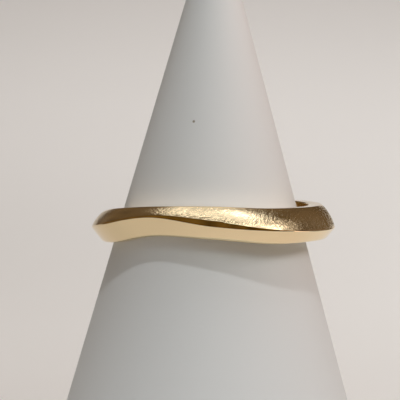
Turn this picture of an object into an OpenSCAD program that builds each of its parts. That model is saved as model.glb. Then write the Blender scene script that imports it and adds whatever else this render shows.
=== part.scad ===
// Twist ring on a plain display cone.
// The gold band has one ridge, which climbs to a crest left of the front and then sweeps down
// across it, so the polished facet below and the frosted facet above trade width as they go
// round. A narrow upright bevel parts the two facets. The cone is a smooth moulded stand.
// Angles round the band start at the front, which faces -Y, and grow towards +X.

/* [Ring] */
// Inside diameter, where the finger goes
bore_d = 17.3; // [16:0.1:19]
// Height of the band from its lower edge to its flat top rim
band_h = 3.1; // [2.6:0.1:3.8]
// Wall from the bore out to the lower edge
foot_t = 1.2; // [1:0.05:1.4]
// Wall from the bore out to the ridge
ridge_t = 2.1; // [1.9:0.05:2.5]
// Wall from the bore out to the edge of the top rim
rim_t = 1.02; // [0.8:0.02:1.2]
// Rise of the lower edge where the wave is highest
wave_h = 0.85; // [0.2:0.05:1.1]
// Height of the upright bevel where it is widest
bevel_h = 0.5; // [0.2:0.05:0.6]
// Crown of the lower facet, as a share of its width
lower_crown = 0.01; // [0.005:0.005:0.04]
// Crown of the upper facet, as a share of its width
upper_crown = 0.065; // [0.02:0.005:0.1]

/* [Seat] */
// Clearance between the bore's lower edge and the cone, on the left, where the ring hangs lower
seat_gap = 0.05; // [0.04:0.01:0.15]
// Lean of the ring on the cone, with its left side down
lean = 1.7; // [0:0.1:2.5]
// How far the ring sits to the right of the cone's axis
offset = 0.08; // [0:0.02:0.12]

/* [Stand] */
// Diameter of the cone where it is widest, just above the floor
base_d = 32; // [28:0.5:40]
// Angle between the cone's side and its axis
flare = 15.75; // [14:0.25:17]
// Radius of the rounded tip
tip_r = 2.2; // [1.5:0.1:4]
// Width of the bevel round the foot
foot_bevel = 0.6; // [0.2:0.1:1.5]

/* [Hidden] */

bore_r = bore_d / 2;
base_r = base_d / 2;
apex_h = foot_bevel + base_r / tan(flare);

// Sections round the band, as shares of the driving sizes: the lower edge's rise of wave_h,
// the height of band_h, the ridge's place up that height, the bevel of bevel_h, and the walls
// of foot_t, ridge_t and rim_t
ANGLE = 0;
RISE = 1;
HEIGHT = 2;
RIDGE = 3;
BEVEL = 4;
FOOT = 5;
WAIST = 6;
RIM = 7;
SECTIONS = [
    // angle, rise, height, ridge, bevel, foot, waist, rim
    [-90, 0.00, 0.85, 0.48, 0.08, 0.77, 0.90, 0.86],
    [-60, 0.20, 0.94, 0.53, 0.35, 0.78, 0.98, 0.88],
    [-30, 1.00, 0.81, 0.64, 0.45, 0.76, 0.80, 0.92],
    [  0, 0.70, 0.89, 0.41, 1.00, 1.12, 0.96, 1.00],
    [ 30, 0.12, 0.96, 0.37, 0.30, 1.52, 1.22, 1.08],
    [ 60, 0.06, 0.95, 0.30, 0.10, 1.30, 1.02, 1.13],
    [ 90, 0.00, 0.98, 0.32, 0.10, 1.21, 1.10, 1.15],
    [135, 0.00, 1.03, 0.36, 0.20, 1.15, 1.07, 1.10],
    [180, 0.00, 0.97, 0.42, 0.20, 1.00, 1.00, 1.00],
    [225, 0.00, 0.90, 0.46, 0.20, 0.83, 0.93, 0.90]
];

// Steps round the band, and the spacing of the points across one facet
STEPS = 144;
FACET_STEPS = 3;

function count() = len(SECTIONS);

// One column's value at a row, where rows past the end carry on round the band
function row_value(i, column) = SECTIONS[(i + count()) % count()][column];

// A row's angle, counted on past a full turn in the same way
function row_angle(i) =
    SECTIONS[(i + count()) % count()][ANGLE] + 360 * floor(i / count());

// The last row at or before an angle
function row_before(a, i = 0) = row_angle(i + 1) > a ? i : row_before(a, i + 1);

// The slope of a column at a row, from the rows on either side of it
function slope(i, column) =
    (row_value(i + 1, column) - row_value(i - 1, column)) / (row_angle(i + 1) - row_angle(i - 1));

// A smooth curve through one column of the sections, at any angle from the first row on
function share(a, column) =
    let(i = row_before(a), span = row_angle(i + 1) - row_angle(i), t = (a - row_angle(i)) / span)
    (1 + 2 * t) * pow(1 - t, 2) * row_value(i, column)
    + t * pow(1 - t, 2) * span * slope(i, column)
    + t * t * (3 - 2 * t) * row_value(i + 1, column)
    - t * t * (1 - t) * span * slope(i + 1, column);

// Points across a facet from one edge up to just before the next, crowned in between
function facet(from, to, crown) =
    let(run = to - from, out = [run[1], -run[0]])
    [for (k = [0 : FACET_STEPS - 1]) let(t = k / FACET_STEPS)
        from + run * t + out * crown * 4 * t * (1 - t)];

// Outline of the band's outer side at an angle, from the lower edge to the top rim, as
// distance from the axis and height
function outline(a) =
    let(
        low = wave_h * share(a, RISE),
        high = low + band_h * share(a, HEIGHT),
        ridge = low + (high - low) * share(a, RIDGE),
        waist = bore_r + ridge_t * share(a, WAIST),
        foot = [bore_r + foot_t * share(a, FOOT), low],
        rim = [bore_r + rim_t * share(a, RIM), high],
        bevel_top = [waist, ridge + bevel_h * share(a, BEVEL)]
    )
    concat(
        facet(foot, [waist, ridge], lower_crown),
        [[waist, ridge]],
        facet(bevel_top, rim, upper_crown),
        [rim]
    );

// The band before its bore is cut: every section's outline, closed in to the axis at the
// height of its own edges
module band_blank() {
    inner = bore_r / 2;
    rows = [for (s = [0 : STEPS - 1])
        let(a = SECTIONS[0][ANGLE] + 360 * s / STEPS, side = outline(a))
        [for (p = concat([[inner, side[0][1]]], side, [[inner, side[len(side) - 1][1]]]))
            [p[0] * sin(a), -p[0] * cos(a), p[1]]]];
    across = len(rows[0]);
    polyhedron(
        points = [for (row = rows, p = row) p],
        faces = [for (s = [0 : STEPS - 1], k = [0 : across - 1])
            let(here = s * across, next = ((s + 1) % STEPS) * across, up = (k + 1) % across)
            each [[here + k, here + up, next + k], [next + k, here + up, next + up]]],
        convexity = 4
    );
}

module twist_ring() {
    color("#E8C98F")
    ring_place()
    difference() {
        band_blank();
        translate([0, 0, -band_h])
        cylinder(r = bore_r, h = 3 * band_h, $fn = 144);
    }
}

// The ring hangs where its bore's lower edge on the left clears the cone by the seat gap
module ring_place() {
    cone_r = bore_r * cos(lean) - offset - seat_gap;
    left_z = apex_h - cone_r / tan(flare);
    translate([offset, 0, left_z + bore_r * sin(lean)])
    rotate([0, -lean, 0])
    children();
}

module display_cone() {
    // Where the rounded tip's arc runs on into the straight side
    tip_z = apex_h - tip_r / sin(flare);
    join = [tip_r * cos(flare), tip_z + tip_r * sin(flare)];
    color("#ECEAE6")
    rotate_extrude($fn = 144)
    union() {
        polygon([
            [0, 0],
            [base_r - foot_bevel, 0],
            [base_r, foot_bevel],
            join,
            [0, join[1]]
        ]);
        intersection() {
            translate([0, tip_z])
            circle(r = tip_r, $fn = 96);
            translate([0, join[1]])
            square([tip_r, tip_r]);
        }
    }
}

display_cone();
twist_ring();
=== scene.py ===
"""Dresses the twist ring and the plain display cone that holds it.

The ring is cast and milled in one piece of yellow gold, so it is one closed mesh here: mirror
polished in the bore, on the rims, on the lower facet and on the narrow upright bevel, and diamond
frosted on the upper facet. The cone is cast white resin with a smooth satin skin. Lengths are
written in millimetres and turned to metres where a mesh, a light or the camera is made. Angles
round the band start at the front, which faces -Y, and grow towards +X.
"""
import logging
import math
from dataclasses import dataclass, field
from enum import Enum
from typing import Any, NamedTuple

import bpy
from mathutils import Matrix, Vector, noise


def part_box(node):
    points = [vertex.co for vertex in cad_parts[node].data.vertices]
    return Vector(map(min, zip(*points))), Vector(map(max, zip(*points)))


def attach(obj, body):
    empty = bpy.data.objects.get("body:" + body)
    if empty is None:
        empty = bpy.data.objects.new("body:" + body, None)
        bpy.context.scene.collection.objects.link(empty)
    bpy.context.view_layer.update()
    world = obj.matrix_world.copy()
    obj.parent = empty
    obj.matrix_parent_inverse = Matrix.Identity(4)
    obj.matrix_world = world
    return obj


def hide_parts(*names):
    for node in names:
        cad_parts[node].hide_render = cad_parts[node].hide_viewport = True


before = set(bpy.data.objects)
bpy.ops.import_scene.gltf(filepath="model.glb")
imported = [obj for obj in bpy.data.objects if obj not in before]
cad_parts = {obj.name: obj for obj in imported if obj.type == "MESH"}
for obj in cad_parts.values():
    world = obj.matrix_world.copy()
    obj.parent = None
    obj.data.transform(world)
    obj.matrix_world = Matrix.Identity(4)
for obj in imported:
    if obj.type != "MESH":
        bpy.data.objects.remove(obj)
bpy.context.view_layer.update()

log = logging.getLogger("twist_ring")

MM = 0.001
ROOT = "root"
# Millimetres from the ring's axis to the frosted facet, near enough for marks that run round it
RING_REACH = 10.75
# Nearly all of a noise texture's values lie between these
NOISE_LOW, NOISE_HIGH = 0.3, 0.7


def linear(hex_colour: str) -> tuple[float, float, float, float]:
    """Turns an sRGB hex colour into the linear colour that shaders and lights take.

    Args:
        hex_colour: The colour as six hex digits after a hash sign.

    Returns:
        Red, green, blue and an alpha of one, all linear.
    """
    channels = [int(hex_colour[i:i + 2], 16) / 255 for i in (1, 3, 5)]
    # The sRGB curve is straight close to black and a power above that
    return (*[c / 12.92 if c <= 0.04045 else ((c + 0.055) / 1.055) ** 2.4 for c in channels], 1.0)


def add_node(
    tree: bpy.types.NodeTree,
    kind: str,
    values: dict[Any, Any] | None = None,
    links: dict[Any, bpy.types.NodeSocket] | None = None,
    **settings: Any,
) -> bpy.types.Node:
    """Adds one node with its settings, socket values and links.

    Args:
        tree: The node tree that takes the node.
        kind: The node's Blender type.
        values: Constant values, by the name or number of the input socket.
        links: Output sockets of other nodes, by the name or number of the input that they feed.
        settings: Properties of the node itself.

    Returns:
        The new node.
    """
    made = tree.nodes.new(kind)
    for name, value in settings.items():
        setattr(made, name, value)
    for name, value in (values or {}).items():
        made.inputs[name].default_value = value
    for name, socket in (links or {}).items():
        tree.links.new(socket, made.inputs[name])
    return made


class Grain(Enum):
    """How the marks on a surface run."""

    EVEN = "even"
    ROUND_THE_BAND = "round_the_band"
    SLANTING = "slanting"


@dataclass(frozen=True)
class Finish:
    """What every finish has: a name, a base colour, a roughness and a way to lay its marks out."""

    name: str
    colour: str
    roughness: float

    def start(self) -> tuple[bpy.types.Material, bpy.types.NodeTree, bpy.types.Node]:
        """Makes an empty material with a Principled shader that has this finish's constants.

        Returns:
            The material, its node tree and its shader.
        """
        material = bpy.data.materials.new(self.name)
        material.use_nodes = True
        tree = material.node_tree
        shader = tree.nodes["Principled BSDF"]
        shader.inputs["Base Color"].default_value = linear(self.colour)
        shader.inputs["Roughness"].default_value = self.roughness
        material.diffuse_color = linear(self.colour)
        return material, tree, shader

    def millimetres(
        self, tree: bpy.types.NodeTree, grain: Grain = Grain.EVEN
    ) -> bpy.types.NodeSocket:
        """Gives the surface's own coordinates in millimetres.

        Args:
            tree: The material's node tree.
            grain: Even for plain X, Y and Z, or one of the ways round the band.

        Returns:
            A vector socket. Round the band, X and Y of it are radius and height, and Z is a
            slow turn, so that a mark is long round the band and fine across it. Slanting, X
            runs across the strokes and Y up them, and Z is the turn, zero at the front.
        """
        place = add_node(tree, "ShaderNodeTexCoord").outputs["Object"]
        # Y is turned round, so that the turn's seam lies at the back
        scaled = add_node(tree, "ShaderNodeVectorMath", {1: (1 / MM, -1 / MM, 1 / MM)}, {0: place},
                          operation="MULTIPLY").outputs["Vector"]
        if grain is Grain.EVEN:
            return scaled
        parts = add_node(tree, "ShaderNodeSeparateXYZ", links={0: scaled})
        height = parts.outputs["Z"]
        turn = add_node(tree, "ShaderNodeMath", links={0: parts.outputs["X"], 1: parts.outputs["Y"]},
                        operation="ARCTAN2").outputs["Value"]
        if grain is Grain.ROUND_THE_BAND:
            flat = add_node(tree, "ShaderNodeVectorMath", {1: (1, 1, 0)}, {0: scaled},
                            operation="MULTIPLY").outputs["Vector"]
            across = add_node(tree, "ShaderNodeVectorMath", links={0: flat},
                              operation="LENGTH").outputs["Value"]
        else:
            round_it = add_node(tree, "ShaderNodeMath", {1: RING_REACH}, {0: turn},
                                operation="MULTIPLY").outputs["Value"]
            across = add_node(tree, "ShaderNodeMath", links={0: round_it, 1: height},
                              operation="SUBTRACT").outputs["Value"]
        return add_node(tree, "ShaderNodeCombineXYZ",
                        links={"X": across, "Y": height, "Z": turn}).outputs["Vector"]


@dataclass(frozen=True)
class PolishedGold(Finish):
    """14 carat yellow gold, buffed to a mirror: clear warm reflections with a few fine hairlines."""

    name: str = "yellow_gold_polished"
    colour: str = "#F6E1B8"
    roughness: float = 0.07
    # A buffed hairline is a few thousandths of a millimetre wide, so these are coarser, to show
    hairline_mm: float = 0.05
    hairline_depth_mm: float = 0.004
    hairline_strength: float = 0.06
    # Where the ring is handled the polish is a little less clear, in patches of this size
    handling_mm: float = 1.6
    # The noise's values where that starts and where it is full, and how much rougher it is there
    handled: tuple[float, float] = (0.35, 0.75)
    handled_times: float = 2.0

    def material(self) -> bpy.types.Material:
        """Builds the polished finish.

        Returns:
            The material.
        """
        material, tree, shader = self.start()
        shader.inputs["Metallic"].default_value = 1.0
        along = self.millimetres(tree, Grain.ROUND_THE_BAND)
        even = self.millimetres(tree)
        hairlines = add_node(tree, "ShaderNodeTexNoise",
                             {"Scale": 1 / self.hairline_mm, "Detail": 2.0, "Roughness": 0.6},
                             {"Vector": along})
        handling = add_node(tree, "ShaderNodeTexNoise",
                            {"Scale": 1 / self.handling_mm, "Detail": 3.0}, {"Vector": even})
        dulled = add_node(tree, "ShaderNodeMapRange",
                          {"From Min": self.handled[0], "From Max": self.handled[1],
                           "To Min": self.roughness, "To Max": self.roughness * self.handled_times},
                          {"Value": handling.outputs["Fac"]})
        tree.links.new(dulled.outputs["Result"], shader.inputs["Roughness"])
        bump = add_node(tree, "ShaderNodeBump",
                        {"Strength": self.hairline_strength, "Distance": self.hairline_depth_mm * MM},
                        {"Height": hairlines.outputs["Fac"]})
        tree.links.new(bump.outputs["Normal"], shader.inputs["Normal"])
        return material


@dataclass(frozen=True)
class FrostedGold(Finish):
    """The same gold after a diamond burr: a bright frost of tiny cuts that sparkles under a light."""

    name: str = "yellow_gold_frosted"
    colour: str = "#F9E5BD"
    roughness: float = 0.16
    # The burr's real cuts are finer than a pixel of the render, so these are coarser, to show
    cut_mm: float = 0.07
    cut_depth_mm: float = 0.012
    cut_strength: float = 0.35
    # The burr bites a little deeper in some places than in others, in patches of this size
    cloud_mm: float = 0.9
    cloud_times: tuple[float, float] = (0.85, 1.25)
    # The burr was drawn in slanting strokes on the right, and only dabbed on the left
    stroke_mm: float = 0.11
    stroke_length_mm: float = 0.45
    stroke_depth_mm: float = 0.03
    stroke_strength: float = 0.6
    # Where the strokes start and where they are full, in radians from the front
    stroke_turns: tuple[float, float] = (-0.3, 0.4)

    def material(self) -> bpy.types.Material:
        """Builds the frosted finish. The larger cuts are in the mesh, and this adds the finest.

        Returns:
            The material.
        """
        material, tree, shader = self.start()
        shader.inputs["Metallic"].default_value = 1.0
        even = self.millimetres(tree)
        slanting = self.millimetres(tree, Grain.SLANTING)
        cuts = add_node(tree, "ShaderNodeTexVoronoi", {"Scale": 1 / self.cut_mm}, {"Vector": even})
        clouds = add_node(tree, "ShaderNodeTexNoise", {"Scale": 1 / self.cloud_mm, "Detail": 4.0},
                          {"Vector": even})
        depth = add_node(tree, "ShaderNodeMapRange",
                         {"From Min": NOISE_LOW, "From Max": NOISE_HIGH,
                          "To Min": self.roughness * self.cloud_times[0],
                          "To Max": self.roughness * self.cloud_times[1]},
                         {"Value": clouds.outputs["Fac"]})
        tree.links.new(depth.outputs["Result"], shader.inputs["Roughness"])
        pitted = add_node(tree, "ShaderNodeBump",
                          {"Strength": self.cut_strength, "Distance": self.cut_depth_mm * MM},
                          {"Height": cuts.outputs["Distance"]})
        turn = add_node(tree, "ShaderNodeSeparateXYZ", links={0: slanting}).outputs["Z"]
        drawn = add_node(tree, "ShaderNodeMapRange",
                         {"From Min": self.stroke_turns[0], "From Max": self.stroke_turns[1],
                          "To Max": self.stroke_strength}, {"Value": turn})
        along = add_node(tree, "ShaderNodeVectorMath",
                         {1: (1 / self.stroke_mm, 1 / self.stroke_length_mm, 0.0)}, {0: slanting},
                         operation="MULTIPLY")
        strokes = add_node(tree, "ShaderNodeTexNoise", {"Scale": 1.0, "Detail": 1.0},
                           {"Vector": along.outputs["Vector"]})
        bump = add_node(tree, "ShaderNodeBump", {"Distance": self.stroke_depth_mm * MM},
                        {"Strength": drawn.outputs["Result"], "Height": strokes.outputs["Fac"],
                         "Normal": pitted.outputs["Normal"]})
        tree.links.new(bump.outputs["Normal"], shader.inputs["Normal"])
        return material


@dataclass(frozen=True)
class CastResin(Finish):
    """White polyurethane resin from a silicone mould: a dense satin skin with one dark pore."""

    name: str = "white_resin_satin"
    colour: str = "#E8EEF1"
    roughness: float = 0.62
    # Typical of polyurethane
    ior: float = 1.5
    # The mould's skin is not quite flat, which softens the sheen
    ripple_mm: float = 3.5
    ripple_depth_mm: float = 0.05
    ripple_strength: float = 0.12
    # The pore lies left of the front, well above the ring: X, turned Y and Z
    pore_at: tuple[float, float, float] = (-1.60, 5.26, 37.79)
    pore_mm: float = 0.2
    pore_colour: str = "#99948A"
    # The pore is dark out to the first share of its width, and ends in the skin at the second
    pore_rim: tuple[float, float] = (0.4, 0.7)

    def material(self) -> bpy.types.Material:
        """Builds the resin.

        Returns:
            The material.
        """
        material, tree, shader = self.start()
        shader.inputs["IOR"].default_value = self.ior
        even = self.millimetres(tree)
        ripple = add_node(tree, "ShaderNodeTexNoise", {"Scale": 1 / self.ripple_mm, "Detail": 2.0},
                          {"Vector": even})
        reach = add_node(tree, "ShaderNodeVectorMath", {1: self.pore_at}, {0: even},
                         operation="DISTANCE").outputs["Value"]
        pore = add_node(tree, "ShaderNodeMapRange",
                        {"From Min": self.pore_rim[0] * self.pore_mm,
                         "From Max": self.pore_rim[1] * self.pore_mm, "To Min": 1.0, "To Max": 0.0},
                        {"Value": reach})
        tone = add_node(tree, "ShaderNodeMix",
                        {"A": linear(self.colour), "B": linear(self.pore_colour)},
                        {"Factor": pore.outputs["Result"]}, data_type="RGBA")
        tree.links.new(tone.outputs["Result"], shader.inputs["Base Color"])
        bump = add_node(tree, "ShaderNodeBump",
                        {"Strength": self.ripple_strength, "Distance": self.ripple_depth_mm * MM},
                        {"Height": ripple.outputs["Fac"]})
        tree.links.new(bump.outputs["Normal"], shader.inputs["Normal"])
        return material


@dataclass(frozen=True)
class StudioPaper(Finish):
    """Seamless off-white photo paper: flat and matt, so the floor runs into the backdrop."""

    name: str = "studio_paper"
    colour: str = "#F6F4F2"
    roughness: float = 0.9
    # Paper's fibres are about 0.03 mm wide, so these are coarser tufts of them, to show
    fibre_mm: float = 0.25
    fibre_depth_mm: float = 0.01
    fibre_strength: float = 0.05

    def material(self) -> bpy.types.Material:
        """Builds the paper.

        Returns:
            The material.
        """
        material, tree, shader = self.start()
        fibres = add_node(tree, "ShaderNodeTexNoise", {"Scale": 1 / self.fibre_mm, "Detail": 2.0},
                          {"Vector": self.millimetres(tree)})
        bump = add_node(tree, "ShaderNodeBump",
                        {"Strength": self.fibre_strength, "Distance": self.fibre_depth_mm * MM},
                        {"Height": fibres.outputs["Fac"]})
        tree.links.new(bump.outputs["Normal"], shader.inputs["Normal"])
        return material


def mesh_object(
    name: str,
    points: list[tuple[float, float, float]],
    faces: list[tuple[int, ...]],
) -> bpy.types.Object:
    """Makes a smooth-shaded mesh object from points in millimetres.

    Args:
        name: The piece's name.
        points: The mesh's points.
        faces: Its faces, wound so that they face outwards.

    Returns:
        The object, linked to the scene.
    """
    mesh = bpy.data.meshes.new(name)
    mesh.from_pydata([tuple(c * MM for c in p) for p in points], [], faces)
    mesh.polygons.foreach_set("use_smooth", [True] * len(mesh.polygons))
    mesh.update()
    made = bpy.data.objects.new(name, mesh)
    bpy.context.scene.collection.objects.link(made)
    return made


def round_corner(
    before: tuple[float, float],
    corner: tuple[float, float],
    after: tuple[float, float],
    setback: float,
    steps: int = 3,
) -> list[tuple[float, float]]:
    """Rounds a corner of an outline with a short curve that stays inside it.

    Args:
        before: The outline's point before the corner.
        corner: The corner.
        after: The point after it.
        setback: How far from the corner the curve starts and ends.
        steps: How many spans the curve has.

    Returns:
        The curve's points, from its start to its end.
    """
    def towards(goal: tuple[float, float]) -> tuple[float, float]:
        """Steps back from the corner, by no more than two fifths of the side."""
        run = math.dist(corner, goal)
        share = min(setback / run, 0.4) if run > 0 else 0.0
        return corner[0] + (goal[0] - corner[0]) * share, corner[1] + (goal[1] - corner[1]) * share

    start, end = towards(before), towards(after)
    return [
        tuple((1 - t) ** 2 * start[i] + 2 * t * (1 - t) * corner[i] + t * t * end[i] for i in (0, 1))
        for t in (k / steps for k in range(steps + 1))
    ]


@dataclass
class DisplayCone:
    """The plain cone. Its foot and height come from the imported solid."""

    # The solid's own driving sizes
    flare: float = 15.75
    tip_r: float = 2.2
    foot_bevel: float = 0.6
    # Spans round the cone, up its side and over its tip
    steps: int = 256
    side_steps: int = 40
    tip_steps: int = 16
    # How far the rounding of the foot's two corners reaches
    edge: float = 0.12
    # Share of the foot's radius where its flat face has a ring of points
    foot_ring: float = 0.5
    low: Vector = field(default_factory=lambda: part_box("display_cone")[0] / MM)
    high: Vector = field(default_factory=lambda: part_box("display_cone")[1] / MM)

    @property
    def base_r(self) -> float:
        """Radius where the cone is widest, in millimetres."""
        return (self.high.x - self.low.x) / 2

    @property
    def slope(self) -> float:
        """How much the cone's radius grows for each millimetre down."""
        return math.tan(math.radians(self.flare))

    @property
    def apex_h(self) -> float:
        """Height of the point that the straight side runs up to, past the rounded tip."""
        return self.foot_bevel + self.base_r / self.slope

    def profile(self) -> list[tuple[float, float]]:
        """Works out the lathe's outline.

        Returns:
            Radius and height of each point, from the underside's middle up to the tip.
        """
        flare = math.radians(self.flare)
        tip_z = self.apex_h - self.tip_r / math.sin(flare)
        join = (self.tip_r * math.cos(flare), tip_z + self.tip_r * math.sin(flare))
        corners = [(self.base_r - self.foot_bevel, 0.0), (self.base_r, self.foot_bevel)]
        points = [(0.0, 0.0), (corners[0][0] * self.foot_ring, 0.0)]
        points += round_corner(points[-1], corners[0], corners[1], self.edge)
        points += round_corner(corners[0], corners[1], join, self.edge)
        start = points[-1]
        for k in range(1, self.side_steps):
            share = k / self.side_steps
            points.append((start[0] + (join[0] - start[0]) * share,
                           start[1] + (join[1] - start[1]) * share))
        for k in range(self.tip_steps + 1):
            turn = flare + (math.pi / 2 - flare) * k / self.tip_steps
            points.append((self.tip_r * math.cos(turn), tip_z + self.tip_r * math.sin(turn)))
        return points

    def build(self) -> bpy.types.Object:
        """Lathes the cone.

        Returns:
            The cone's piece.
        """
        outline = self.profile()
        bottom, *rings, top = outline
        points = [(0.0, 0.0, bottom[1]), (0.0, 0.0, top[1])]
        for r, z in rings:
            for s in range(self.steps):
                turn = math.tau * s / self.steps
                points.append((r * math.cos(turn), r * math.sin(turn), z))
        faces: list[tuple[int, ...]] = []
        last = 2 + (len(rings) - 1) * self.steps
        for s in range(self.steps):
            after = (s + 1) % self.steps
            faces.append((0, 2 + after, 2 + s))
            faces.append((1, last + s, last + after))
            for k in range(len(rings) - 1):
                here = 2 + k * self.steps
                faces.append((here + s, here + after, here + self.steps + after, here + self.steps + s))
        return mesh_object("display_cone_cast", points, faces)

    def dress(self, cone: bpy.types.Object, resin: CastResin) -> None:
        """Gives the cone its resin and its body, and hides the solid that it stands in for.

        Args:
            cone: The cone's piece.
            resin: The finish of all of it.
        """
        cone.data.materials.append(resin.material())
        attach(cone, ROOT)
        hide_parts("display_cone")


class Section(NamedTuple):
    """One section round the band. All but the angle are shares of the ring's driving sizes."""

    angle: float
    rise: float
    height: float
    ridge: float
    bevel: float
    foot: float
    waist: float
    rim: float


# The solid's own table, from the ring's left side round by the front
SECTIONS = [
    Section(-90, 0.00, 0.85, 0.48, 0.08, 0.77, 0.90, 0.86),
    Section(-60, 0.20, 0.94, 0.53, 0.35, 0.78, 0.98, 0.88),
    Section(-30, 1.00, 0.81, 0.64, 0.45, 0.76, 0.80, 0.92),
    Section(0, 0.70, 0.89, 0.41, 1.00, 1.12, 0.96, 1.00),
    Section(30, 0.12, 0.96, 0.37, 0.30, 1.52, 1.22, 1.08),
    Section(60, 0.06, 0.95, 0.30, 0.10, 1.30, 1.02, 1.13),
    Section(90, 0.00, 0.98, 0.32, 0.10, 1.21, 1.10, 1.15),
    Section(135, 0.00, 1.03, 0.36, 0.20, 1.15, 1.07, 1.10),
    Section(180, 0.00, 0.97, 0.42, 0.20, 1.00, 1.00, 1.00),
    Section(225, 0.00, 0.90, 0.46, 0.20, 0.83, 0.93, 0.90),
]


class Facet(NamedTuple):
    """One side of the band's section: its spans, its crown as a share of its width, its finish."""

    name: str
    steps: int
    crown: float = 0.0
    frosted: bool = False


@dataclass
class TwistRing:
    """The gold band, from the same sections as its solid, with softened edges and real frost."""

    cone: DisplayCone
    # The solid's own driving sizes
    bore_r: float = 8.65
    band_h: float = 3.1
    foot_t: float = 1.2
    ridge_t: float = 2.1
    rim_t: float = 1.02
    wave_h: float = 0.85
    bevel_h: float = 0.5
    seat_gap: float = 0.05
    lean: float = 1.7
    offset: float = 0.08
    # Spans round the band
    columns: int = 1000
    # The frost's tilted cells. The burr's real cuts are finer than a pixel of the render, so
    # these and the strokes are drawn coarse enough to sparkle
    cell_mm: float = 0.15
    cell_tilt: float = 0.35
    # Spreads the cells' centres out in the noise, so that each cell tilts its own way
    cell_spread: float = 7.3
    # The noise's vectors follow the clock unless they are seeded
    seed: int = 1
    # The burr was dabbed in this many patches round the band, one of them at this turn in
    # radians, and by this share of the most in between
    dab_patches: int = 4
    dab_turn: float = -0.25
    dab_least: float = 0.3
    # The burr's slanting strokes
    streak_mm: float = 0.15
    streak_length_mm: float = 0.4
    streak_depth: float = 0.016
    # How much of the strokes shows at the front: none of them on the left, all on the right
    drawn_at_front: float = 0.5
    # The frost fades out over one of this many parts of the facet at each of its edges
    fade_parts: int = 12
    facets: tuple[Facet, ...] = (
        Facet("lower_edge", 2),
        Facet("lower_facet", 14, crown=0.01),
        Facet("bevel", 8),
        Facet("upper_facet", 40, crown=0.065, frosted=True),
        Facet("top_rim", 5),
        Facet("bore", 5),
    )
    # How far each corner's rounding reaches, from the bore's lower corner round to its upper one
    edges: tuple[float, ...] = (0.08, 0.22, 0.03, 0.05, 0.09, 0.10)

    def share(self, angle: float, column: str) -> float:
        """Reads a smooth curve through one column of the sections.

        Args:
            angle: Degrees from the front, from the first section's angle on.
            column: The column's name.

        Returns:
            The column's value there.
        """
        count = len(SECTIONS)

        def row(i: int) -> tuple[float, float]:
            """A row's angle and value, where rows past the end carry on round the band."""
            section = SECTIONS[i % count]
            return section.angle + 360 * (i // count), getattr(section, column)

        k = max(i for i in range(count) if row(i)[0] <= angle)
        (a0, v0), (a1, v1), (a2, v2), (a3, v3) = (row(i) for i in range(k - 1, k + 3))
        span = a2 - a1
        t = (angle - a1) / span
        slope_1, slope_2 = (v2 - v0) / (a2 - a0), (v3 - v1) / (a3 - a1)
        return ((1 + 2 * t) * (1 - t) ** 2 * v1 + t * (1 - t) ** 2 * span * slope_1
                + t * t * (3 - 2 * t) * v2 - t * t * (1 - t) * span * slope_2)

    def corners(self, angle: float) -> list[tuple[float, float]]:
        """Works out the section's corners at an angle.

        Args:
            angle: Degrees from the front.

        Returns:
            Radius and height of the bore's lower corner, the foot, the ridge, the bevel's top,
            the rim and the bore's upper corner.
        """
        low = self.wave_h * self.share(angle, "rise")
        high = low + self.band_h * self.share(angle, "height")
        ridge = low + (high - low) * self.share(angle, "ridge")
        waist = self.bore_r + self.ridge_t * self.share(angle, "waist")
        return [
            (self.bore_r, low),
            (self.bore_r + self.foot_t * self.share(angle, "foot"), low),
            (waist, ridge),
            (waist, ridge + self.bevel_h * self.share(angle, "bevel")),
            (self.bore_r + self.rim_t * self.share(angle, "rim"), high),
            (self.bore_r, high),
        ]

    def frost(self, turn: float, across: float) -> float:
        """Works out the frost's relief: small tilted cuts, with slanting streaks from the burr.

        Args:
            turn: Radians round the band.
            across: Millimetres up the facet.

        Returns:
            How far the surface stands out, in millimetres.
        """
        reach = self.bore_r + self.ridge_t
        place = Vector((reach * math.cos(turn), reach * math.sin(turn), across)) / self.cell_mm
        # Each cell is a small plane through its own centre, tilted its own way
        centre = noise.voronoi(place)[1][0]
        tilt = noise.noise_vector(centre * self.cell_spread)
        dab = max(0.0, math.cos(self.dab_patches * (turn - self.dab_turn)))
        dabbed = self.dab_least + (1 - self.dab_least) * dab
        drawn = min(1.0, max(0.0, self.drawn_at_front + math.sin(turn)))
        cut = dabbed * self.cell_tilt * self.cell_mm * tilt.dot(place - centre)
        slanted = turn - across / reach
        along = Vector((
            reach * math.cos(slanted) / self.streak_mm,
            reach * math.sin(slanted) / self.streak_mm,
            across / self.streak_length_mm,
        ))
        return cut + self.streak_depth * drawn * noise.noise(along)

    def column(self, turn: float) -> tuple[list[tuple[float, float]], list[int]]:
        """Works out one closed section with its rounded corners, crowns and frost.

        Args:
            turn: Radians round the band.

        Returns:
            The section's points, and for each the number of its facet, or -1 on a corner.
        """
        corners = self.corners(math.degrees(turn))
        count = len(corners)
        points: list[tuple[float, float]] = []
        tags: list[int] = []
        rounds = [round_corner(corners[i - 1], corners[i], corners[(i + 1) % count], self.edges[i])
                  for i in range(count)]
        for i, facet in enumerate(self.facets):
            points += rounds[i]
            tags += [-1] * len(rounds[i])
            start, end = rounds[i][-1], rounds[(i + 1) % count][0]
            run = (end[0] - start[0], end[1] - start[1])
            length = math.hypot(*run)
            out = (run[1] / length, -run[0] / length)
            for k in range(1, facet.steps):
                t = k / facet.steps
                # The crown is a parabola, highest in the middle
                lift = 4 * facet.crown * length * t * (1 - t)
                if facet.frosted:
                    fade = min(1.0, self.fade_parts * t, self.fade_parts * (1 - t))
                    lift += fade * self.frost(turn, t * length)
                points.append((start[0] + run[0] * t + out[0] * lift,
                               start[1] + run[1] * t + out[1] * lift))
                tags.append(i)
        return points, tags

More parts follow.
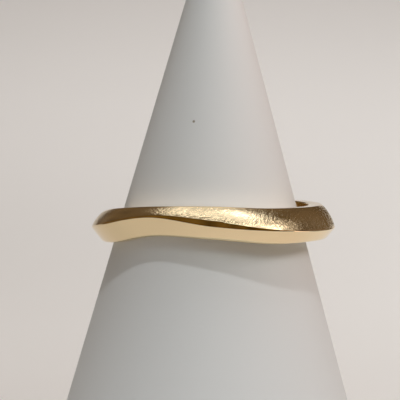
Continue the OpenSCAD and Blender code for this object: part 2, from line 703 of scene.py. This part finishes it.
    def placing(self) -> Matrix:
        """Works out where the ring hangs on the cone, in millimetres.

        Returns:
            The turn and shift from the ring's own frame to the part's.
        """
        lean = math.radians(self.lean)
        cone_r = self.bore_r * math.cos(lean) - self.offset - self.seat_gap
        left_z = self.cone.apex_h - cone_r / self.cone.slope
        seat = Vector((self.offset, 0.0, left_z + self.bore_r * math.sin(lean)))
        return Matrix.Translation(seat) @ Matrix.Rotation(-lean, 4, "Y")

    def build(self) -> bpy.types.Object:
        """Sweeps the sections round the band into one closed mesh.

        Returns:
            The ring's piece.
        """
        noise.seed_set(self.seed)
        place = self.placing()
        first = math.radians(SECTIONS[0].angle)
        points: list[tuple[float, float, float]] = []
        for c in range(self.columns):
            turn = first + math.tau * c / self.columns
            for r, z in self.column(turn)[0]:
                points.append(tuple(place @ Vector((r * math.sin(turn), -r * math.cos(turn), z))))
        across = len(points) // self.columns
        faces: list[tuple[int, ...]] = []
        for c in range(self.columns):
            here, after = c * across, (c + 1) % self.columns * across
            for k in range(across):
                up = (k + 1) % across
                faces.append((here + k, after + k, after + up, here + up))
        return mesh_object("twist_ring_band", points, faces)

    def dress(self, ring: bpy.types.Object, polished: PolishedGold, frosted: FrostedGold) -> None:
        """Gives the ring its two golds and its body, and hides the solid that it stands in for.

        Args:
            ring: The ring's piece.
            polished: The finish of the bore, rims, lower facet and bevel.
            frosted: The finish of the upper facet.
        """
        ring.data.materials.append(polished.material())
        ring.data.materials.append(frosted.material())
        tags = self.column(math.radians(SECTIONS[0].angle))[1]
        frosty = [tag >= 0 and self.facets[tag].frosted for tag in tags]
        # Each span lies between one point of the section and the next
        slots = [int(here or up) for here, up in zip(frosty, frosty[1:] + frosty[:1])]
        ring.data.polygons.foreach_set("material_index", slots * self.columns)
        log.info("%s: %d faces are frosted, on the %s", ring.name, sum(slots) * self.columns,
                 " and ".join(facet.name for facet in self.facets if facet.frosted))
        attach(ring, ROOT)
        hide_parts("twist_ring")


def away(angle: float, height_angle: float) -> Vector:
    """Gives the unit vector towards a light.

    Args:
        angle: Degrees round from the front, growing towards +X.
        height_angle: Degrees up from the horizon.

    Returns:
        The vector.
    """
    turn, up = math.radians(angle), math.radians(height_angle)
    return Vector((math.sin(turn) * math.cos(up), -math.cos(turn) * math.cos(up), math.sin(up)))


class Reach(Enum):
    """Which surfaces a light acts on."""

    ALL = "all"
    METAL = "metal"
    MATTE = "matte"


def hang_light(light: bpy.types.Light, towards: Vector, place: Vector, reach: Reach) -> bpy.types.Object:
    """Puts a light in the scene, out of the camera's own sight.

    Args:
        light: The light.
        towards: The unit vector from what it lights to the light.
        place: Where it hangs, in millimetres.
        reach: Which surfaces it acts on.

    Returns:
        The light's object.
    """
    hung = bpy.data.objects.new(light.name, light)
    hung.location = place * MM
    hung.rotation_euler = towards.to_track_quat("Z", "Y").to_euler()
    hung.visible_camera = False
    hung.visible_diffuse = reach is not Reach.METAL
    hung.visible_glossy = reach is not Reach.MATTE
    bpy.context.scene.collection.objects.link(hung)
    return hung


@dataclass(frozen=True)
class Lamp:
    """One rectangular studio light, placed by its direction and distance from what it is aimed at.

    Angles are in degrees, as in away, and the radiance is in watts a steradian a square metre.
    """

    name: str
    angle: float
    height_angle: float
    distance: float
    width: float
    depth: float
    radiance: float
    colour: str
    aim: tuple[float, float, float] = (0.0, 0.0, 28.0)
    reach: Reach = Reach.ALL

    def build(self) -> bpy.types.Object:
        """Makes the light.

        Returns:
            The light.
        """
        light = bpy.data.lights.new(self.name, "AREA")
        light.shape = "RECTANGLE"
        light.size, light.size_y = self.width * MM, self.depth * MM
        light.energy = self.radiance * math.pi * light.size * light.size_y
        light.color = linear(self.colour)[:3]
        towards = away(self.angle, self.height_angle)
        return hang_light(light, towards, Vector(self.aim) + towards * self.distance, self.reach)


@dataclass(frozen=True)
class Spot:
    """One far light, which draws or fills the ring's shadow and stays out of the gold's mirror."""

    name: str
    angle: float
    height_angle: float
    strength: float
    spread: float
    colour: str

    def build(self) -> bpy.types.Object:
        """Makes the light.

        Returns:
            The light.
        """
        light = bpy.data.lights.new(self.name, "SUN")
        light.energy = self.strength
        light.angle = math.radians(self.spread)
        light.color = linear(self.colour)[:3]
        towards = away(self.angle, self.height_angle)
        return hang_light(light, towards, towards, Reach.MATTE)


@dataclass
class Studio:
    """The pale sweep, the lights and the dim warm room all round."""

    # The sweep: its front edge, where its floor ends, and the long slow curve up from there
    front: float = -45.0
    flat_to: float = 100.0
    flat_steps: int = 4
    half_width: float = 300.0
    curve_r: float = 1200.0
    curve_to: float = 40.0
    curve_steps: int = 32
    # The dim room: dark warm wood low down, duller walls higher up. The walls take over between
    # two heights, as shares of the way from level to straight up
    room_low: str = "#5B4520"
    room: str = "#5B4B38"
    room_rise: tuple[float, float] = (0.1, 0.3)
    # Its soft patches: how much brighter or darker they are, and how many to a radian
    room_patches: float = 0.6
    room_patch_scale: float = 5.0
    # Angles round the band where the top rim throws light on the cone, how strongly, and how
    # much more so at the left than at the front
    glow_angles: tuple[float, ...] = (-60, -45, -30, -15, 0, 15, 30, 45, 60)
    glow_radiance: float = 2.00
    glow_left: float = 0.2
    glow_tilt: float = 20.0
    glow_depth: float = 0.3
    glow_colour: str = "#FFE2C8"
    lamps: tuple[Lamp, ...] = (
        # The ceiling. Its front and left are seen by the metal alone, and light up the frost
        Lamp("ceiling_panel", 240, 84, 290, 260, 250, 0.62, "#FFFFFF"),
        Lamp("ceiling_front", 20, 61, 300, 200, 60, 1.20, "#FBFDFF", reach=Reach.METAL),
        Lamp("ceiling_core", 74, 71, 290, 90, 90, 2.20, "#FBFDFF"),
        Lamp("ceiling_left", -46, 59, 300, 170, 75, 0.70, "#FFFFFF", reach=Reach.METAL),
        # The window, in four panes
        Lamp("tall_window", 80, 46, 300, 90, 100, 0.68, "#FFFAF8"),
        Lamp("window", 52, 38, 300, 260, 80, 2.85, "#FFFAF7"),
        Lamp("bright_pane", 18, 34, 300, 110, 80, 3.30, "#F6FFFA"),
        Lamp("low_pane", 98, 34, 300, 60, 60, 0.60, "#FFFAF7"),
        # A low card for the metal alone, mirrored at the ring's right end
        Lamp("side_card", 74, 12, 300, 140, 60, 0.50, "#FFEAE6", reach=Reach.METAL),
        # A near warm fill for the matte surfaces alone, on the cone's right side
        Lamp("right_fill", 84, 38, 60, 40, 40, 0.85, "#FFBCA5", reach=Reach.MATTE),
        # Dim side walls and a bright edge card for the metal alone, mirrored at the ring's two ends
        Lamp("right_wall", 126, 13, 300, 100, 70, 0.06, "#EEF2FF", reach=Reach.METAL),
        Lamp("left_wall", 218, 16, 300, 100, 70, 0.05, "#EEF2FF", reach=Reach.METAL),
        Lamp("edge_card", 100, -1, 300, 140, 50, 2.00, "#FFEDEA", reach=Reach.METAL),
        # Washes on the sweep. The low one is for the matte surfaces alone, because the lower
        # facet would mirror it
        Lamp("wash_far", 0, 41, 280, 400, 150, 1.92, "#FFFFFF", (55, 540, 115)),
        Lamp("wash_mid", 0, 35, 250, 300, 100, 0.50, "#FFFFFF", (0, 300, 15)),
        Lamp("wash_low", 0, 60, 110, 320, 60, 0.14, "#FFFDFC", (0, 170, 4), reach=Reach.MATTE),
        Lamp("wash_right", 0, 35, 220, 120, 100, 3.10, "#FFFFFF", (170, 330, 20)),
        Lamp("wash_near", 0, 53, 75, 90, 30, 0.95, "#FFFFFF", (75, 90, 0)),
    )
    # Small lights in the ceiling, by their angle and height: the frost's sparkles
    downlights: tuple[tuple[float, float], ...] = ((225, 71), (285, 70), (330, 67), (0, 82))
    downlight_distance: float = 290.0
    downlight_mm: float = 28.0
    downlight_radiance: float = 2.2
    # The first draws the sharp edge of the ring's shadow, and the second fills it from the left
    spots: tuple[Spot, ...] = (
        Spot("ceiling_spot", 0, 66, 0.53, 2.5, "#FFFFFF"),
        Spot("low_fill", -18, 12, 0.25, 50, "#E6EEFF"),
    )

    def build_sweep(self) -> bpy.types.Object:
        """Makes the floor and the backdrop in one sheet.

        Returns:
            The sheet.
        """
        flat = self.flat_to - self.front
        profile = [(self.front + flat * k / self.flat_steps, 0.0) for k in range(self.flat_steps + 1)]
        for k in range(1, self.curve_steps + 1):
            turn = math.radians(self.curve_to) * k / self.curve_steps
            profile.append((self.flat_to + self.curve_r * math.sin(turn),
                            self.curve_r * (1 - math.cos(turn))))
        points = [(side * self.half_width, y, z) for y, z in profile for side in (-1, 1)]
        faces = [(2 * k, 2 * k + 1, 2 * k + 3, 2 * k + 2) for k in range(len(profile) - 1)]
        return mesh_object("paper_sweep", points, faces)

    def dress_sweep(self, sweep: bpy.types.Object, paper: StudioPaper) -> None:
        """Gives the sheet its paper.

        Args:
            sweep: The sheet.
            paper: Its finish.
        """
        sweep.data.materials.append(paper.material())

    def build_glow(self, ring: TwistRing) -> None:
        """Makes the light that the polished top rim throws up on the cone just above it.

        The renderer blurs light that comes off a mirror, so that light is made here as a row of
        small strips that lie on the rim and face the cone.

        Args:
            ring: The ring.
        """
        place = ring.placing()
        for angle in self.glow_angles:
            turn = math.radians(angle)
            inner_r, high = ring.corners(angle)[-1]
            reach = inner_r + self.glow_depth / 2
            # A quarter of its depth up, the tilted strip is just clear of the rim
            on_rim = Vector((reach * math.sin(turn), -reach * math.cos(turn), high + self.glow_depth / 4))
            width = reach * math.radians(self.glow_angles[1] - self.glow_angles[0])
            # A lamp hangs at a distance from its aim, here one millimetre
            aim = place @ on_rim - away(angle, -self.glow_tilt)
            level = self.glow_radiance * (1 - self.glow_left * math.sin(turn))
            Lamp("rim_glow", angle, -self.glow_tilt, 1.0, width, self.glow_depth, level,
                 self.glow_colour, tuple(aim)).build()

    def build_room(self) -> None:
        """Makes the dim room that the gold mirrors wherever no lamp is."""
        world = bpy.data.worlds.new("dim_room")
        world.use_nodes = True
        tree = world.node_tree
        towards = add_node(tree, "ShaderNodeTexCoord").outputs["Generated"]
        height = add_node(tree, "ShaderNodeSeparateXYZ", links={0: towards}).outputs["Z"]
        raised = add_node(tree, "ShaderNodeMapRange",
                          {"From Min": self.room_rise[0], "From Max": self.room_rise[1]},
                          {"Value": height})
        tone = add_node(tree, "ShaderNodeMix", {"A": linear(self.room_low), "B": linear(self.room)},
                        {"Factor": raised.outputs["Result"]}, data_type="RGBA")
        patches = add_node(tree, "ShaderNodeTexNoise",
                           {"Scale": self.room_patch_scale, "Detail": 3.0}, {"Vector": towards})
        level = add_node(tree, "ShaderNodeMapRange",
                         {"From Min": NOISE_LOW, "From Max": NOISE_HIGH,
                          "To Min": 1 - self.room_patches, "To Max": 1 + self.room_patches},
                         {"Value": patches.outputs["Fac"]})
        background = tree.nodes["Background"]
        tree.links.new(tone.outputs["Result"], background.inputs["Color"])
        tree.links.new(level.outputs["Result"], background.inputs["Strength"])
        bpy.context.scene.world = world

    def build_lights(self, ring: TwistRing) -> None:
        """Makes every light, the rim's glow and the dim room, and sets plain colour handling.

        Args:
            ring: The ring, for the glow of its rim.
        """
        for light in (*self.lamps, *self.spots):
            light.build()
        for angle, height_angle in self.downlights:
            Lamp("downlight", angle, height_angle, self.downlight_distance, self.downlight_mm,
                 self.downlight_mm, self.downlight_radiance, "#FFFFFF").build()
        self.build_glow(ring)
        self.build_room()
        bpy.context.scene.view_settings.view_transform = "Standard"


@dataclass
class PhotoCamera:
    """The camera, placed so that the cone's axis crosses the picture where the photo has it."""

    cone: DisplayCone
    # The picture's side in pixels, and its scale at the cone's axis
    picture: float = 400.0
    pixels_per_mm: float = 11.28
    distance: float = 150.0
    elevation: float = 2.3
    roll: float = 0.91
    sensor: float = 36.0
    # Where the straight sides would meet, and where the axis crosses the ring's row, in pixels
    apex_y: float = -98.2
    axis_x: float = 210.5
    axis_y: float = 225.0
    # The nearest and the farthest thing that it sees
    near: float = 10.0
    far: float = 5000.0

    def build(self) -> bpy.types.Object:
        """Makes the camera and gives it to the scene.

        Returns:
            The camera.
        """
        up, roll = math.radians(self.elevation), math.radians(self.roll)
        back = Vector((0.0, -math.cos(up), math.sin(up)))
        level = Vector((1.0, 0.0, 0.0))
        upright = back.cross(level)
        right = level * math.cos(roll) + upright * math.sin(roll)
        top = upright * math.cos(roll) - level * math.sin(roll)
        axis_z = self.cone.apex_h - (self.axis_y - self.apex_y) / self.pixels_per_mm
        aim = (Vector((0.0, 0.0, axis_z)) + right * (self.picture / 2 - self.axis_x) / self.pixels_per_mm
               + top * (self.axis_y - self.picture / 2) / self.pixels_per_mm)
        data = bpy.data.cameras.new("photo_camera")
        data.sensor_width = self.sensor
        data.lens = self.sensor * self.distance * self.pixels_per_mm / self.picture
        data.clip_start, data.clip_end = self.near * MM, self.far * MM
        camera = bpy.data.objects.new("photo_camera", data)
        turn = Matrix((right, top, back)).transposed().to_4x4()
        camera.matrix_world = Matrix.Translation((aim + back * self.distance) * MM) @ turn
        bpy.context.scene.collection.objects.link(camera)
        bpy.context.scene.camera = camera
        return camera


def report(piece: bpy.types.Object, node: str | None = None) -> None:
    """Logs a piece's faces and, where it stands for a node, how far its box is from the node's.

    Args:
        piece: The piece.
        node: The node that it replaces, if any.
    """
    log.info("%s: %d faces", piece.name, len(piece.data.polygons))
    if node:
        corners = [piece.matrix_world @ vertex.co for vertex in piece.data.vertices]
        low = Vector(min(c[i] for c in corners) for i in range(3))
        high = Vector(max(c[i] for c in corners) for i in range(3))
        solid_low, solid_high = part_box(node)
        off = max((low - Vector(solid_low)).length, (high - Vector(solid_high)).length)
        log.info("%s: box within %.3f mm of %s", piece.name, off / MM, node)


def main() -> None:
    """Builds and dresses the pieces in order, then the studio round them."""
    logging.basicConfig(level=logging.INFO, format="%(message)s")
    cone = DisplayCone()
    PhotoCamera(cone).build()
    stand = cone.build()
    cone.dress(stand, CastResin())
    report(stand, "display_cone")
    ring = TwistRing(cone)
    band = ring.build()
    ring.dress(band, PolishedGold(), FrostedGold())
    report(band, "twist_ring")
    studio = Studio()
    sweep = studio.build_sweep()
    studio.dress_sweep(sweep, StudioPaper())
    report(sweep)
    studio.build_lights(ring)


if __name__ == "__main__":
    main()
